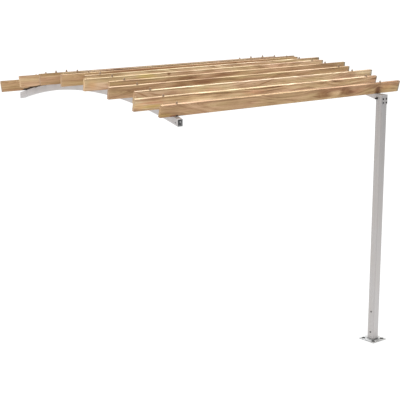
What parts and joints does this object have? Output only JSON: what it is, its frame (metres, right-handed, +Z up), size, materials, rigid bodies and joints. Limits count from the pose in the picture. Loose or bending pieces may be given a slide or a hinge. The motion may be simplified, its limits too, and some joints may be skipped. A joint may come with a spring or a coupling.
{
  "type": "arched pergola module",
  "caption": "Open pergola roof of timber slats on edge over arched aluminium box beams, carried by a square aluminium post on a base plate; free beam ends join the next module.",
  "frame": {"origin": "centre of the underside of the base plate, on the axis of the post", "axes": "+X along the slats, from the free beam towards the post and past it; +Y from the post at the front to the back; +Z up"},
  "size_m": [2.884, 2.482, 2.613],
  "materials": {
    "timber": "planed, oiled",
    "beam_alu": "satin",
    "post_alu": "satin",
    "plate_alu": "satin",
    "dark_steel": "burnished dark",
    "bolt_steel": "satin brown grey"
  },
  "bodies": {
    "root": {"base_plate": "plate_alu", "foot_sleeve": "beam_alu", "post": "post_alu", "head_plate": "post_alu", "beam_saddle": "beam_alu", "left_beam": "beam_alu", "right_beam": "beam_alu", "slat_01": "timber", "slat_02": "timber", "slat_03": "timber", "slat_04": "timber", "slat_05": "timber", "slat_06": "timber", "slat_07": "timber", "slat_08": "timber", "slat_09": "timber", "slat_10": "timber", "slat_11": "timber", "slat_12": "timber", "slat_13": "timber", "slat_14": "timber", "left_slat_bolts": "bolt_steel", "right_slat_bolts": "bolt_steel", "head_bolt": "dark_steel", "head_screws": "dark_steel", "foot_screws": "dark_steel"}
  },
  "joints": []
}
